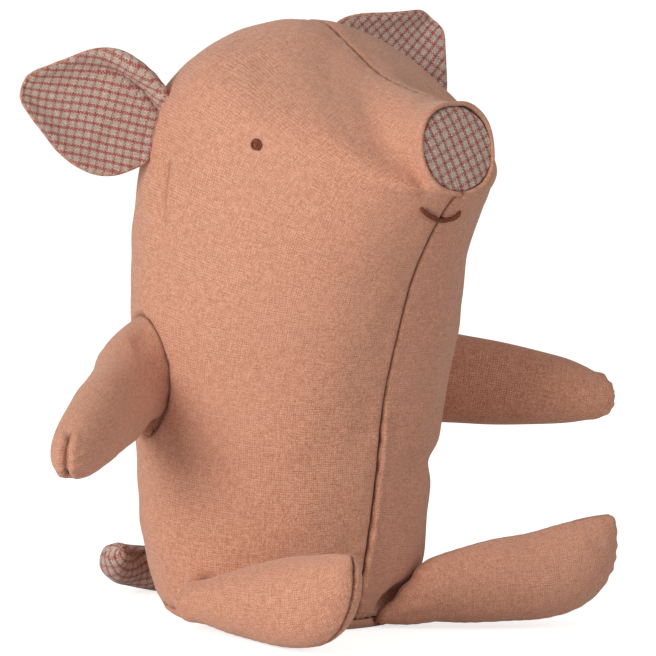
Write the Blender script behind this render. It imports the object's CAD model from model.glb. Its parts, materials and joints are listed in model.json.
"""Looks of a seated plush pig: sewn cloth panels, stuffing, stitches, light and camera."""

import json
import logging
import math
from bisect import bisect_left
from collections.abc import Callable
from dataclasses import dataclass, field
from enum import Enum
from functools import lru_cache, partial

import bmesh
import bpy
from mathutils import Matrix, Vector, noise


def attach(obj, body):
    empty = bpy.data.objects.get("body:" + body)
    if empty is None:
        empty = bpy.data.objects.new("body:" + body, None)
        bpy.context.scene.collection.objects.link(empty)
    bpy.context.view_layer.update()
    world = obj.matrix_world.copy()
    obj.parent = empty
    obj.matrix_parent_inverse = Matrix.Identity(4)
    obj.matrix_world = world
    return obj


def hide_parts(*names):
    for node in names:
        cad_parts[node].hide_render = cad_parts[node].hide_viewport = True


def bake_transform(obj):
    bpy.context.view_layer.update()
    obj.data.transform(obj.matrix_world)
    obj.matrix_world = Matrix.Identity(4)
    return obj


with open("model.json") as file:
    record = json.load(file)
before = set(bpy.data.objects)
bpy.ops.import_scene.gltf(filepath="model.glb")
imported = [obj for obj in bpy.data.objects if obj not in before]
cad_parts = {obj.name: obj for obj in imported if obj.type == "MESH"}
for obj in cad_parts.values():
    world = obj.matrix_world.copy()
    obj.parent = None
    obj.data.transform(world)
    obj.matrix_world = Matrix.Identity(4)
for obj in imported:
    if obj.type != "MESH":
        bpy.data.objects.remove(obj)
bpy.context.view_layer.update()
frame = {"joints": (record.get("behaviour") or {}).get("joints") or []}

log = logging.getLogger("pig")

MM = 0.001
TINY = 1e-9
UP = Vector((0, 0, 1)).freeze()
WHITE = (1.0, 1.0, 1.0, 1.0)
UV_NAME = "cloth"
CREASE_NAME = "crease"

Place = Callable[[float, float], Vector]
Crease = Callable[[float, float], float]


class Side(Enum):
    """The pig's own sides, with the sign of X there."""

    RIGHT = -1
    LEFT = 1

    @property
    def word(self) -> str:
        """The side's name as it stands in node names."""
        return self.name.lower()


# Shader nodes


class Signal:
    """A number socket of a material, written as arithmetic."""

    def __init__(self, shader: "Shader", socket: bpy.types.NodeSocket) -> None:
        """Keeps the material and the socket."""
        self.shader = shader
        self.socket = socket

    def math(self, operation: str, *others: "Signal | float") -> "Signal":
        """Adds a Math node on this socket.

        Args:
            operation: The node's operation.
            others: Its second and third inputs.

        Returns:
            The node's result.
        """
        return self.shader.number(operation, self, *others)

    def __add__(self, other: "Signal | float") -> "Signal":
        """self + other."""
        return self.math("ADD", other)

    __radd__ = __add__

    def __sub__(self, other: "Signal | float") -> "Signal":
        """self - other."""
        return self.math("SUBTRACT", other)

    def __rsub__(self, other: float) -> "Signal":
        """other - self."""
        return self.shader.number("SUBTRACT", other, self)

    def __mul__(self, other: "Signal | float") -> "Signal":
        """self * other."""
        return self.math("MULTIPLY", other)

    __rmul__ = __mul__

    def __truediv__(self, other: "Signal | float") -> "Signal":
        """self / other."""
        return self.math("DIVIDE", other)

    def __abs__(self) -> "Signal":
        """The size of self."""
        return self.math("ABSOLUTE")

    def __pow__(self, other: "Signal | float") -> "Signal":
        """self to a power."""
        return self.math("POWER", other)

    def sine(self) -> "Signal":
        """The sine of self."""
        return self.math("SINE")

    def above(self, limit: float) -> "Signal":
        """1 where self is greater than the limit, else 0."""
        return self.math("GREATER_THAN", limit)

    def step(self, low: float, high: float) -> "Signal":
        """A smooth step from 0 at low to 1 at high."""
        node = self.shader.node("ShaderNodeMapRange", {"interpolation_type": "SMOOTHSTEP"},
                                {"Value": self, "From Min": low, "From Max": high})
        return Signal(self.shader, node.outputs["Result"])


class Shader:
    """The node tree of a material or a world, with one method that adds any node."""

    def __init__(self, name: str, world: bool = False) -> None:
        """Starts an empty tree.

        Args:
            name: The material's or world's name.
            world: Whether it is a world.
        """
        self.block = (bpy.data.worlds if world else bpy.data.materials).new(name)
        self.block.use_nodes = True
        self.tree = self.block.node_tree
        self.tree.nodes.clear()

    def node(self, kind: str, settings: dict | None = None, inputs: dict | None = None) -> bpy.types.Node:
        """Adds a node.

        Args:
            kind: The node's type.
            settings: Its properties, set before its sockets.
            inputs: Socket name or number to a value, a socket or a Signal.

        Returns:
            The node.
        """
        made = self.tree.nodes.new(kind)
        for key, value in (settings or {}).items():
            setattr(made, key, value)
        for key, value in (inputs or {}).items():
            socket = made.inputs[key]
            if isinstance(value, Signal):
                value = value.socket
            if isinstance(value, bpy.types.NodeSocket):
                self.tree.links.new(value, socket)
            else:
                socket.default_value = value
        return made

    def number(self, operation: str, *inputs: "Signal | float") -> Signal:
        """Adds a Math node and returns its result."""
        node = self.node("ShaderNodeMath", {"operation": operation}, dict(enumerate(inputs)))
        return Signal(self, node.outputs[0])

    def cloth_plane(self) -> tuple[Signal, Signal]:
        """Where a point lies on its flat panel, in metres along the two thread directions."""
        uv = self.node("ShaderNodeUVMap", {"uv_map": UV_NAME})
        parts = self.node("ShaderNodeSeparateXYZ", inputs={0: uv.outputs[0]})
        return Signal(self, parts.outputs[0]), Signal(self, parts.outputs[1])

    def vector(self, x: "Signal | float", y: "Signal | float", z: "Signal | float" = 0.0) -> bpy.types.NodeSocket:
        """Joins three numbers to a vector."""
        return self.node("ShaderNodeCombineXYZ", inputs={0: x, 1: y, 2: z}).outputs[0]

    def place(self) -> bpy.types.NodeSocket:
        """The point in the object's own frame, in metres."""
        return self.node("ShaderNodeTexCoord").outputs["Object"]

    def crease(self) -> Signal:
        """How deep in a seam the point lies, from 0 to 1."""
        return Signal(self, self.node("ShaderNodeAttribute", {"attribute_name": CREASE_NAME}).outputs["Fac"])

    def mottle(self, where: bpy.types.NodeSocket, scale: float, detail: float = 2.0) -> Signal:
        """Noise about 0.5 at a point.

        Args:
            where: The point.
            scale: Cells per metre.
            detail: Octaves of finer noise.

        Returns:
            The noise.
        """
        node = self.node("ShaderNodeTexNoise", inputs={"Vector": where, "Scale": scale, "Detail": detail})
        return Signal(self, node.outputs["Fac"])

    def tint(self, factor: "Signal | float", first: object, second: object, mode: str = "MIX") -> bpy.types.NodeSocket:
        """Mixes two colours by a factor."""
        node = self.node("ShaderNodeMix", {"data_type": "RGBA", "blend_type": mode, "clamp_factor": True},
                         {0: factor, 6: first, 7: second})
        return node.outputs[2]

    def finish(self, inputs: dict, height: Signal, distance: float, strength: float) -> bpy.types.Material:
        """Ends the tree in a Principled shader.

        Args:
            inputs: Its socket values.
            height: The surface's relief for its Bump node.
            distance: The relief's full height in metres.
            strength: How far the relief shows.

        Returns:
            The material.
        """
        bump = self.node("ShaderNodeBump", inputs={"Height": height, "Distance": distance, "Strength": strength})
        shader = self.node("ShaderNodeBsdfPrincipled", inputs={**inputs, "Normal": bump.outputs[0]})
        self.node("ShaderNodeOutputMaterial", inputs={0: shader.outputs[0]})
        return self.block


def linear(red: int, green: int, blue: int) -> tuple[float, float, float, float]:
    """A screen colour, 0 to 255, as the linear colour that shaders take."""
    def channel(value: int) -> float:
        """One channel of it."""
        share = value / 255
        return share / 12.92 if share <= 0.04045 else ((share + 0.055) / 1.055) ** 2.4

    return channel(red), channel(green), channel(blue), 1.0


@dataclass(frozen=True)
class Weave:
    """How the threads of a plain weave cross, at one pitch."""

    pitch: float = 0.001
    wander: float = 0.12

    def threads(self, shader: Shader) -> tuple[Signal, Signal, Signal, Signal, Signal]:
        """Works out the weave at each point.

        Args:
            shader: The material.

        Returns:
            The two thread coordinates in pitches, which thread is on top (1 or 0), the relief and
            the uneven thickness of the thread on top.
        """
        u, v = shader.cloth_plane()
        drift = shader.mottle(shader.vector(u, v), 0.2 / self.pitch, 1.0) - 0.5
        sway = shader.mottle(shader.vector(v, u, 3.0), 0.75 / self.pitch, 1.0) - 0.5
        across = u / self.pitch + drift * (self.wander * 8) + sway * (self.wander * 6)
        along = v / self.pitch + drift * (self.wander * -7) + sway * (self.wander * 5)
        domes = (across * math.pi).sine() * (along * math.pi).sine()
        over = domes.above(0.0)
        height = abs(domes) ** 0.5
        warp = shader.mottle(shader.vector(across * 0.9, along * 0.24), 1.0, 3.0)
        weft = shader.mottle(shader.vector(across * 0.24, along * 0.9, 7.0), 1.0, 3.0)
        slub = warp * over + weft * (1.0 - over)
        return across, along, over, height, slub


@dataclass(frozen=True)
class SalmonCloth:
    """Soft brushed plain weave in dusty salmon."""

    thread: tuple[float, float, float, float] = linear(226, 168, 140)
    shade: tuple[float, float, float, float] = linear(176, 114, 88)
    faded: tuple[float, float, float, float] = linear(204, 150, 128)
    seam: tuple[float, float, float, float] = linear(92, 44, 30)
    weave: Weave = Weave(0.00082, 0.17)

    def build(self) -> bpy.types.Material:
        """Makes the material."""
        shader = Shader("salmon_cloth")
        *_, height, slub = self.weave.threads(shader)
        where = shader.place()
        grain = shader.mottle(where, 2500.0, 2.0)
        fuzz = shader.mottle(where, 4200.0, 1.0)
        patch = shader.mottle(where, 70.0, 2.0).step(0.38, 0.66)
        soft = shader.mottle(where, 18.0, 3.0)
        grid = (height - 0.5) * (patch * 0.4 + 0.24)
        light = (grid + slub * 1.25 + grain - 0.65).step(0.08, 0.9)
        colour = shader.tint(light, self.shade, self.thread)
        colour = shader.tint((soft - 0.5) * 0.9 + 0.15, colour, self.faded)
        colour = shader.tint(shader.crease(), colour, self.seam)
        rough = slub * 0.1 + 0.86
        relief = grid * 0.9 + slub * 0.7 + grain * 0.6 + fuzz * 0.3
        return shader.finish({"Base Color": colour, "Roughness": rough, "Specular IOR Level": 0.15,
                              "Sheen Weight": 0.4, "Sheen Roughness": 0.5,
                              "Sheen Tint": linear(246, 226, 212)}, relief, 0.00026, 0.75)


@dataclass(frozen=True)
class CheckCloth:
    """Small yarn-dyed check on a grey-beige ground: strong rose lines one way, weak ones the other way."""

    ground: tuple[float, float, float, float] = linear(200, 184, 168)
    rose: tuple[float, float, float, float] = linear(174, 76, 78)
    fleck: tuple[float, float, float, float] = linear(236, 226, 214)
    repeat: float = 0.003
    stripe: float = 0.36
    weave: Weave = Weave(0.0005, 0.14)

    def line(self, run: Signal) -> Signal:
        """1 on a rose stripe and 0 between stripes, from a thread coordinate."""
        per = self.weave.pitch / self.repeat
        away = abs((run * per).math("FRACT") - 0.5)
        return away.step(self.stripe / 2 + 0.07, self.stripe / 2 - 0.07)

    def build(self) -> bpy.types.Material:
        """Makes the material."""
        shader = Shader("check_cloth")
        across, along, over, height, slub = self.weave.threads(shader)
        strong = self.line(across) * (over * 0.6 + 0.34)
        weak = self.line(along) * ((1.0 - over) * 0.5 + 0.2)
        red = strong.math("MAXIMUM", weak) * (slub * 1.3 + 0.35)
        colour = shader.tint(red.step(0.0, 0.9), self.ground, self.rose)
        grain = shader.mottle(shader.place(), 2000.0, 2.0)
        colour = shader.tint((1.0 - height) * 0.3 + (0.58 - grain) * 0.7, colour, linear(122, 92, 82))
        colour = shader.tint(slub.step(0.48, 0.66) * (1.0 - red) * over * 0.8, colour, self.fleck)
        relief = height * 0.6 + slub * 0.6 + grain * 0.5
        return shader.finish({"Base Color": colour, "Roughness": 0.9, "Specular IOR Level": 0.15,
                              "Sheen Weight": 0.2, "Sheen Roughness": 0.5,
                              "Sheen Tint": linear(236, 222, 212)}, relief, 0.00022, 0.75)


@dataclass(frozen=True)
class Floss:
    """Stranded embroidery thread, a little shiny."""

    name: str = "brown_floss"
    deep: tuple[float, float, float, float] = linear(88, 34, 12)
    lit: tuple[float, float, float, float] = linear(146, 78, 40)

    def build(self) -> bpy.types.Material:
        """Makes the material."""
        shader = Shader(self.name)
        u, v = shader.cloth_plane()
        fibre = shader.mottle(shader.vector(u * 500.0, v * 5200.0), 1.0, 2.0)
        colour = shader.tint(fibre.step(0.3, 0.75), self.deep, self.lit)
        return shader.finish({"Base Color": colour, "Roughness": 0.5, "Specular IOR Level": 0.35,
                              "Sheen Weight": 0.15, "Sheen Roughness": 0.4}, fibre, 0.0001, 0.6)


@dataclass(frozen=True)
class Stuffing:
    """Loose white polyester fibre."""

    white: tuple[float, float, float, float] = linear(236, 232, 224)

    def build(self) -> bpy.types.Material:
        """Makes the material."""
        shader = Shader("stuffing")
        where = shader.place()
        tuft = shader.mottle(where, 160.0, 4.0)
        strand = shader.mottle(where, 900.0, 3.0)
        colour = shader.tint(tuft.step(0.3, 0.7), linear(206, 200, 190), self.white)
        return shader.finish({"Base Color": colour, "Roughness": 0.95, "Sheen Weight": 0.3},
                             tuft * 0.8 + strand * 0.3, 0.0015, 0.8)


# Lines and forms, all in millimetres


@dataclass(frozen=True)
class Line:
    """A smooth line through rows of numbers, passed at even steps."""

    rows: tuple[tuple[float, ...], ...]
    tension: float = 0.5

    def at(self, share: float) -> list[float]:
        """The row at a share of the way from the first row to the last."""
        last = len(self.rows) - 1
        run = min(max(share, 0.0), 1.0) * last
        first = min(int(run), last - 1)
        t = run - first
        b, c = self.rows[first], self.rows[first + 1]
        a = self.rows[first - 1] if first else [2 * p - q for p, q in zip(b, c)]
        d = self.rows[first + 2] if first + 2 <= last else [2 * q - p for p, q in zip(b, c)]
        found = []
        for w, x, y, z in zip(a, b, c, d):
            rise, fall = self.tension * (y - w), self.tension * (z - x)
            found.append(x + rise * t + (3 * (y - x) - 2 * rise - fall) * t * t
                         + (2 * (x - y) + rise + fall) * t ** 3)
        return found


def bell(distance: float, width: float) -> float:
    """A smooth bump of height 1 at distance 0."""
    return math.exp(-((distance / width) ** 2))


def smooth(value: float, low: float, high: float) -> float:
    """A smooth step from 0 at low to 1 at high."""
    t = min(max((value - low) / (high - low), 0.0), 1.0)
    return t * t * (3 - 2 * t)


def pucker(along: float, pitch: float, seed: float) -> float:
    """An uneven wave, from -1 to 1, of the gathers along a seam."""
    drift = noise.noise(Vector((along / (3 * pitch), seed, 0.0)))
    power = 0.6 + 0.7 * noise.noise(Vector((along / (1.7 * pitch), seed + 7.3, 4.1)))
    return math.sin(2 * math.pi * along / pitch + 5 * drift) * power


def beside(point: Vector, start: Vector, end: Vector) -> tuple[float, float]:
    """Where a point lies beside a straight line.

    Args:
        point: The point.
        start: The line's start.
        end: The line's end.

    Returns:
        The share of the way from start to end, and the distance from the line.
    """
    span = end - start
    share = min(max((point - start).dot(span) / span.dot(span), 0.0), 1.0)
    return share, (point - start - span * share).length


@dataclass(frozen=True)
class Fold:
    """A smooth ridge, or a groove where its height is negative."""

    height: float
    width: float
    place: float = 0.0

    def at(self, away: float) -> float:
        """Its height at a distance from the line that its place is measured from."""
        return self.height * bell(away - self.place, self.width)


@dataclass(frozen=True)
class Lumps:
    """Uneven filling: how high in millimetres, and how many waves to a millimetre."""

    height: float
    scale: float

    def at(self, point: Vector, shift: tuple[float, float, float] = (0.0, 0.0, 0.0)) -> float:
        """Their height at a point, with the noise moved by a shift."""
        return self.height * noise.noise(point * self.scale + Vector(shift))


@dataclass(frozen=True)
class Gathers:
    """Uneven gathers beside a seam."""

    height: float
    pitch: float
    width: float
    place: float = 0.0

    def at(self, run: float, away: float, seed: float) -> float:
        """Their height.

        Args:
            run: How far along the seam.
            away: How far from it.
            seed: Which gathers of this kind.

        Returns:
            The height.
        """
        return self.height * pucker(run, self.pitch, seed) * bell(away - self.place, self.width)


@dataclass(frozen=True)
class BodyForm:
    """The stuffed body's plain form: rings ruled from a front line to a back line.

    Each row: front reach and height, back reach and height, half width, fullness towards the back.
    """

    rows: tuple[tuple[float, ...], ...] = (
        (27, 0, -38.5, 0, 40, 0), (30.5, 4.5, -44, 4, 43.5, 0), (33, 15, -49, 15, 46.5, 0),
        (35.8, 34, -54.8, 34, 49, 0), (38, 56, -59, 57, 50.5, 0), (39.5, 80, -60.5, 82, 54, 0),
        (44.5, 102, -61, 106, 55.3, 0.04), (50, 121, -61.5, 132, 54.4, 0.09),
        (57, 135, -60, 159, 52.8, 0.12), (62.5, 143.5, -50, 183.5, 50.8, 0.14),
        (66, 148, -28, 198.5, 47, 0.16), (68.3, 150.5, -5, 203.5, 34, -0.14),
        (69.8, 151.8, 12, 196.5, 24.5, -0.34), (70.8, 152.4, 28, 188.5, 18.5, -0.3),
        (71.4, 152.6, 46, 184.4, 16.2, -0.12), (71.8, 152.6, 66, 182.2, 15.8, 0),
    )
    roundness: float = 2.2

    def point(self, station: float, turn: float, inset: float = 0.0) -> Vector:
        """A point of the form.

        Args:
            station: From 0 at the base to 1 at the snout's end.
            turn: From 0 at the front seam to 1 at the back seam, negative on the pig's right.
            inset: How far inside the skin.

        Returns:
            The point.
        """
        front_y, front_z, back_y, back_z, half, fullness = ring_of(self, station)
        across_y, across_z = (-front_y + back_y) / 2, (front_z - back_z) / 2
        reach = math.hypot(across_y, across_z)
        angle = turn * math.pi
        wave, side = math.cos(angle), math.sin(angle)
        share = math.copysign(abs(wave) ** (2 / self.roundness), wave) * (1 - inset / reach)
        width = half * (1 - fullness * wave) - inset
        return Vector((
            math.copysign(abs(side) ** (2 / self.roundness), side) * width,
            -(front_y + back_y) / 2 + across_y * share,
            (front_z + back_z) / 2 + across_z * share,
        ))

    def normal(self, station: float, turn: float, probe: float = 0.002) -> Vector:
        """The outward normal of the form at a station and turn."""
        low, high = max(station - probe, 0.0), min(station + probe, 1.0)
        around = self.point(station, turn + probe) - self.point(station, turn - probe)
        along = self.point(high, turn) - self.point(low, turn)
        return around.cross(along).normalized()


@lru_cache(maxsize=4096)
def ring_of(form: BodyForm, station: float) -> tuple[float, ...]:
    """The row of a body form at a station, kept because each is asked for many times."""
    return tuple(Line(form.rows).at(station))


def frame_at(pivot: Vector, along: Vector, level: Vector, top: Vector) -> Matrix:
    """A matrix from a piece's own axes and place."""
    matrix = Matrix((along, level, top)).transposed().to_4x4()
    matrix.translation = pivot
    return matrix


def joint_point(name: str) -> Vector:
    """Where a joint of the frame lies, in millimetres."""
    found = next(joint for joint in frame["joints"] if joint["name"] == name)
    return Vector(found["pos_m"]) / MM


# Cloth panels


def grid_mesh(columns: int, rows: int, place: Place,
              crease: Crease | None = None) -> tuple[bmesh.types.BMesh, bmesh.types.BMLayerItem]:
    """A grid laid on a form.

    Args:
        columns: Cells across.
        rows: Cells along.
        place: From shares across and along to a point in millimetres.
        crease: From the same shares to how dark the cloth is in a seam, from 0 to 1.

    Returns:
        The mesh in metres and its UV layer, which still holds the shares.
    """
    mesh = bmesh.new()
    dark = mesh.verts.layers.float.new(CREASE_NAME)
    layer = mesh.loops.layers.uv.new(UV_NAME)
    bmesh.ops.create_grid(mesh, x_segments=columns, y_segments=rows, size=0.5, calc_uvs=True)
    for vertex in mesh.verts:
        across, along = vertex.co.x + 0.5, vertex.co.y + 0.5
        vertex.co = place(across, along) * MM
        vertex[dark] = crease(across, along) if crease else 0.0
    return mesh, layer


@dataclass
class FlatPattern:
    """The flat cut of a panel: where each point of the formed panel lies on the uncut cloth."""

    place: Place
    columns: int = 20
    rows: int = 28
    turn: float = 0.0
    table: dict[tuple[int, int], Vector] = field(default_factory=dict)

    def __post_init__(self) -> None:
        """Unwraps a coarse copy of the panel and scales it to metres."""
        mesh, layer = grid_mesh(self.columns, self.rows, self.place)
        cells = [(round(loop[layer].uv.x * self.columns), round(loop[layer].uv.y * self.rows))
                 for face in mesh.faces for loop in face.loops]
        area = sum(face.calc_area() for face in mesh.faces)
        data = bpy.data.meshes.new("pattern")
        mesh.to_mesh(data)
        mesh.free()
        piece = bpy.data.objects.new("pattern", data)
        bpy.context.scene.collection.objects.link(piece)
        bpy.ops.object.select_all(action="DESELECT")
        bpy.context.view_layer.objects.active = piece
        piece.select_set(True)
        bpy.ops.object.mode_set(mode="EDIT")
        bpy.ops.mesh.select_all(action="SELECT")
        bpy.ops.uv.unwrap(method="ANGLE_BASED", margin=0.0)
        bpy.ops.object.mode_set(mode="OBJECT")
        spots = [Vector(item.uv) for item in piece.data.uv_layers[UV_NAME].data]
        flat = 0.0
        for polygon in piece.data.polygons:
            ring = [spots[i] for i in polygon.loop_indices]
            flat += abs(sum(a.cross(b) for a, b in zip(ring, ring[1:] + ring[:1]))) / 2
        scale = math.sqrt(area / flat)
        for cell, spot in zip(cells, spots):
            self.table[cell] = spot * scale
        middle = self.columns // 2
        way = self.table[middle, self.rows * 3 // 5] - self.table[middle, self.rows // 5]
        spin = Matrix.Rotation(math.pi / 2 - math.atan2(way.y, way.x) + self.turn, 2)
        for cell in self.table:
            self.table[cell] = spin @ self.table[cell]
        bpy.data.objects.remove(piece)
        bpy.data.meshes.remove(data)

    def at(self, across: float, along: float) -> Vector:
        """The flat place of the panel's point at these shares."""
        x, y = across * self.columns, along * self.rows
        i, j = min(int(x), self.columns - 1), min(int(y), self.rows - 1)
        s, t = x - i, y - j
        low = self.table[i, j].lerp(self.table[i + 1, j], s)
        high = self.table[i, j + 1].lerp(self.table[i + 1, j + 1], s)
        return low.lerp(high, t)


def make_object(name: str, mesh: bmesh.types.BMesh) -> bpy.types.Object:
    """Turns a mesh into a smooth shaded object in the scene."""
    data = bpy.data.meshes.new(name)
    mesh.to_mesh(data)
    mesh.free()
    data.polygons.foreach_set("use_smooth", [True] * len(data.polygons))
    piece = bpy.data.objects.new(name, data)
    bpy.context.scene.collection.objects.link(piece)
    return piece


def face_outwards(mesh: bmesh.types.BMesh, middle: Vector) -> None:
    """Turns an open panel's faces away from a point inside it."""
    mesh.normal_update()
    facing = sum(face.normal.dot(face.calc_center_median() - middle) * face.calc_area() for face in mesh.faces)
    if facing < 0:
        bmesh.ops.reverse_faces(mesh, faces=mesh.faces)


def lay_pattern(mesh: bmesh.types.BMesh, layer: bmesh.types.BMLayerItem, pattern: FlatPattern) -> None:
    """Turns the shares in a UV layer into places on the flat cloth."""
    for face in mesh.faces:
        for loop in face.loops:
            loop[layer].uv = pattern.at(*loop[layer].uv)


def panel(name: str, cells: tuple[int, int], place: Place, middle: Vector, pattern: FlatPattern,
          thickness: float, crisp: bool = False, crease: Crease | None = None) -> bpy.types.Object:
    """A cloth panel with thickness.

    Args:
        name: The piece's name.
        cells: How many across and along.
        place: From shares across and along to a point in millimetres.
        middle: A point inside the form, in millimetres.
        pattern: The panel's flat cut.
        thickness: Of the cloth, in millimetres, laid inwards.
        crisp: Whether its edge shades sharply, so that a butted seam hardly shows.
        crease: How dark the cloth is in a seam, from 0 to 1.

    Returns:
        The panel.
    """
    coarser = 1
    mesh, layer = grid_mesh(cells[0] // coarser, cells[1] // coarser, place, crease)
    lay_pattern(mesh, layer, pattern)
    bmesh.ops.remove_doubles(mesh, verts=mesh.verts, dist=1e-7)
    face_outwards(mesh, middle * MM)
    for edge in mesh.edges:
        edge.smooth = not (crisp and edge.is_boundary)
    piece = make_object(name, mesh)
    wall = piece.modifiers.new("cloth thickness", "SOLIDIFY")
    wall.thickness = thickness * MM
    wall.offset = -1.0
    return piece


def closed_form(name: str, columns: int, rows: int, place: Place) -> bpy.types.Object:
    """A closed stuffed form from a grid that meets itself at its sides."""
    mesh, _ = grid_mesh(columns, rows, place)
    bmesh.ops.remove_doubles(mesh, verts=mesh.verts, dist=1e-6)
    bmesh.ops.holes_fill(mesh, edges=[edge for edge in mesh.edges if edge.is_boundary], sides=0)
    bmesh.ops.recalc_face_normals(mesh, faces=mesh.faces)
    return make_object(name, mesh)


def heading(path: list[Vector], i: int) -> Vector:
    """The direction of a path at one of its points."""
    return (path[min(i + 1, len(path) - 1)] - path[max(i - 1, 0)]).normalized()


def thread(name: str, paths: list[list[Vector]], radius: float, sides: int = 8) -> bpy.types.Object:
    """Round threads along paths, each closed at both ends.

    Args:
        name: The piece's name.
        paths: Points in millimetres of each thread's middle.
        radius: Of a thread, in millimetres.
        sides: Of a thread's section.

    Returns:
        The threads as one object.
    """
    mesh = bmesh.new()
    layer = mesh.loops.layers.uv.new(UV_NAME)
    runs = mesh.verts.layers.float.new("run")
    turns = mesh.verts.layers.float.new("turn")
    for path in paths:
        before, run = None, 0.0
        for i, point in enumerate(path):
            turn = UP.rotation_difference(heading(path, i)).to_matrix().to_4x4()
            turn.translation = point * MM
            end = min(i, len(path) - 1 - i)
            made = bmesh.ops.create_circle(mesh, segments=sides, radius=radius * MM * min(1.0, 0.4 + 0.3 * end),
                                           matrix=turn, cap_ends=end == 0)
            run += (point - path[i - 1]).length * MM if i else 0.0
            for k, vertex in enumerate(made["verts"]):
                vertex[runs], vertex[turns] = run, k / sides
            ring = list({edge for vertex in made["verts"] for edge in vertex.link_edges
                         if all(other in made["verts"] for other in edge.verts)})
            if before:
                bmesh.ops.bridge_loops(mesh, edges=before + ring)
            before = ring
    for face in mesh.faces:
        wraps = max(vertex[turns] for vertex in face.verts) > 0.6
        for loop in face.loops:
            turn = loop.vert[turns] + (1.0 if wraps and loop.vert[turns] < 0.3 else 0.0)
            loop[layer].uv = (loop.vert[runs], turn * 2 * math.pi * radius * MM)
    bmesh.ops.recalc_face_normals(mesh, faces=mesh.faces)
    return make_object(name, mesh)


def twisted(path: list[Vector], strands: int, radius: float, lay: float) -> list[list[Vector]]:
    """Strands twisted round a path.

    Args:
        path: Points of the thread's middle, in millimetres.
        strands: How many.
        radius: Of the circle that the strands run on.
        lay: The length of a full twist.

    Returns:
        One path for each strand.
    """
    found: list[list[Vector]] = [[] for _ in range(strands)]
    run = 0.0
    for i, point in enumerate(path):
        way = heading(path, i)
        first = way.orthogonal().normalized()
        second = way.cross(first)
        if i:
            run += (point - path[i - 1]).length
        for k in range(strands):
            angle = 2 * math.pi * (k / strands + run / lay)
            found[k].append(point + (first * math.cos(angle) + second * math.sin(angle)) * radius)
    return found


class RunPattern(FlatPattern):
    """The flat cut of a narrow panel, measured outwards from its middle line."""

    def __post_init__(self) -> None:
        """Measures the lengths along the middle line and across from it."""
        middle = self.columns // 2
        spots = [[self.place(i / self.columns, j / self.rows) for i in range(self.columns + 1)]
                 for j in range(self.rows + 1)]
        along = 0.0
        for j, row in enumerate(spots):
            if j:
                along += (row[middle] - spots[j - 1][middle]).length
            for i in range(len(row)):
                run = sum((row[k + 1] - row[k]).length for k in range(min(i, middle), max(i, middle)))
                flat = Vector((math.copysign(run, i - middle), along)) * MM
                self.table[i, j] = Matrix.Rotation(self.turn, 2) @ flat


class SheetPattern(FlatPattern):
    """The flat cut of a sheet that already lies flat, along the X and Z of its own frame."""

    def __post_init__(self) -> None:
        """Reads the cut straight off the sheet."""
        for i in range(self.columns + 1):
            for j in range(self.rows + 1):
                spot = self.place(i / self.columns, j / self.rows)
                self.table[i, j] = Matrix.Rotation(self.turn, 2) @ Vector((spot.x, spot.z)) * MM


# The pig's parts


@dataclass(frozen=True)
class Finish:
    """A material and the record's slot that it fills."""

    material: bpy.types.Material
    slot: str

    def dress(self, piece: bpy.types.Object, node: str = "") -> bpy.types.Object:
        """Gives a piece this finish.

        Args:
            piece: The piece.
            node: The CAD node that the piece stands for, if it does.

        Returns:
            The piece.
        """
        piece.data.materials.clear()
        piece.data.materials.append(self.material)
        if node:
            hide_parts(node)
        return piece


@dataclass(frozen=True)
class Finishes:
    """The finishes that the parts share."""

    salmon: Finish
    check: Finish
    floss: Finish
    knot: Finish
    stuffing: Finish

    @classmethod
    def build(cls) -> "Finishes":
        """Makes every material once."""
        knot = Floss("brown_floss_knot", linear(112, 60, 34), linear(176, 120, 84))
        return cls(Finish(SalmonCloth().build(), "salmon_cloth"), Finish(CheckCloth().build(), "check_cloth"),
                   Finish(Floss().build(), "brown_floss"), Finish(knot.build(), "brown_floss"),
                   Finish(Stuffing().build(), "stuffing"))


def bend(piece: bpy.types.Object, child: str, start: Vector, end: Vector) -> None:
    """Lets a piece bend from the body into a moving part.

    Args:
        piece: The piece.
        child: The moving body's name.
        start: Where the body lets go of it, in millimetres.
        end: Where the moving part holds it fully, in millimetres.
    """
    tuple(start * MM)
    tuple(end * MM)
    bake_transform(piece)


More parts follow.
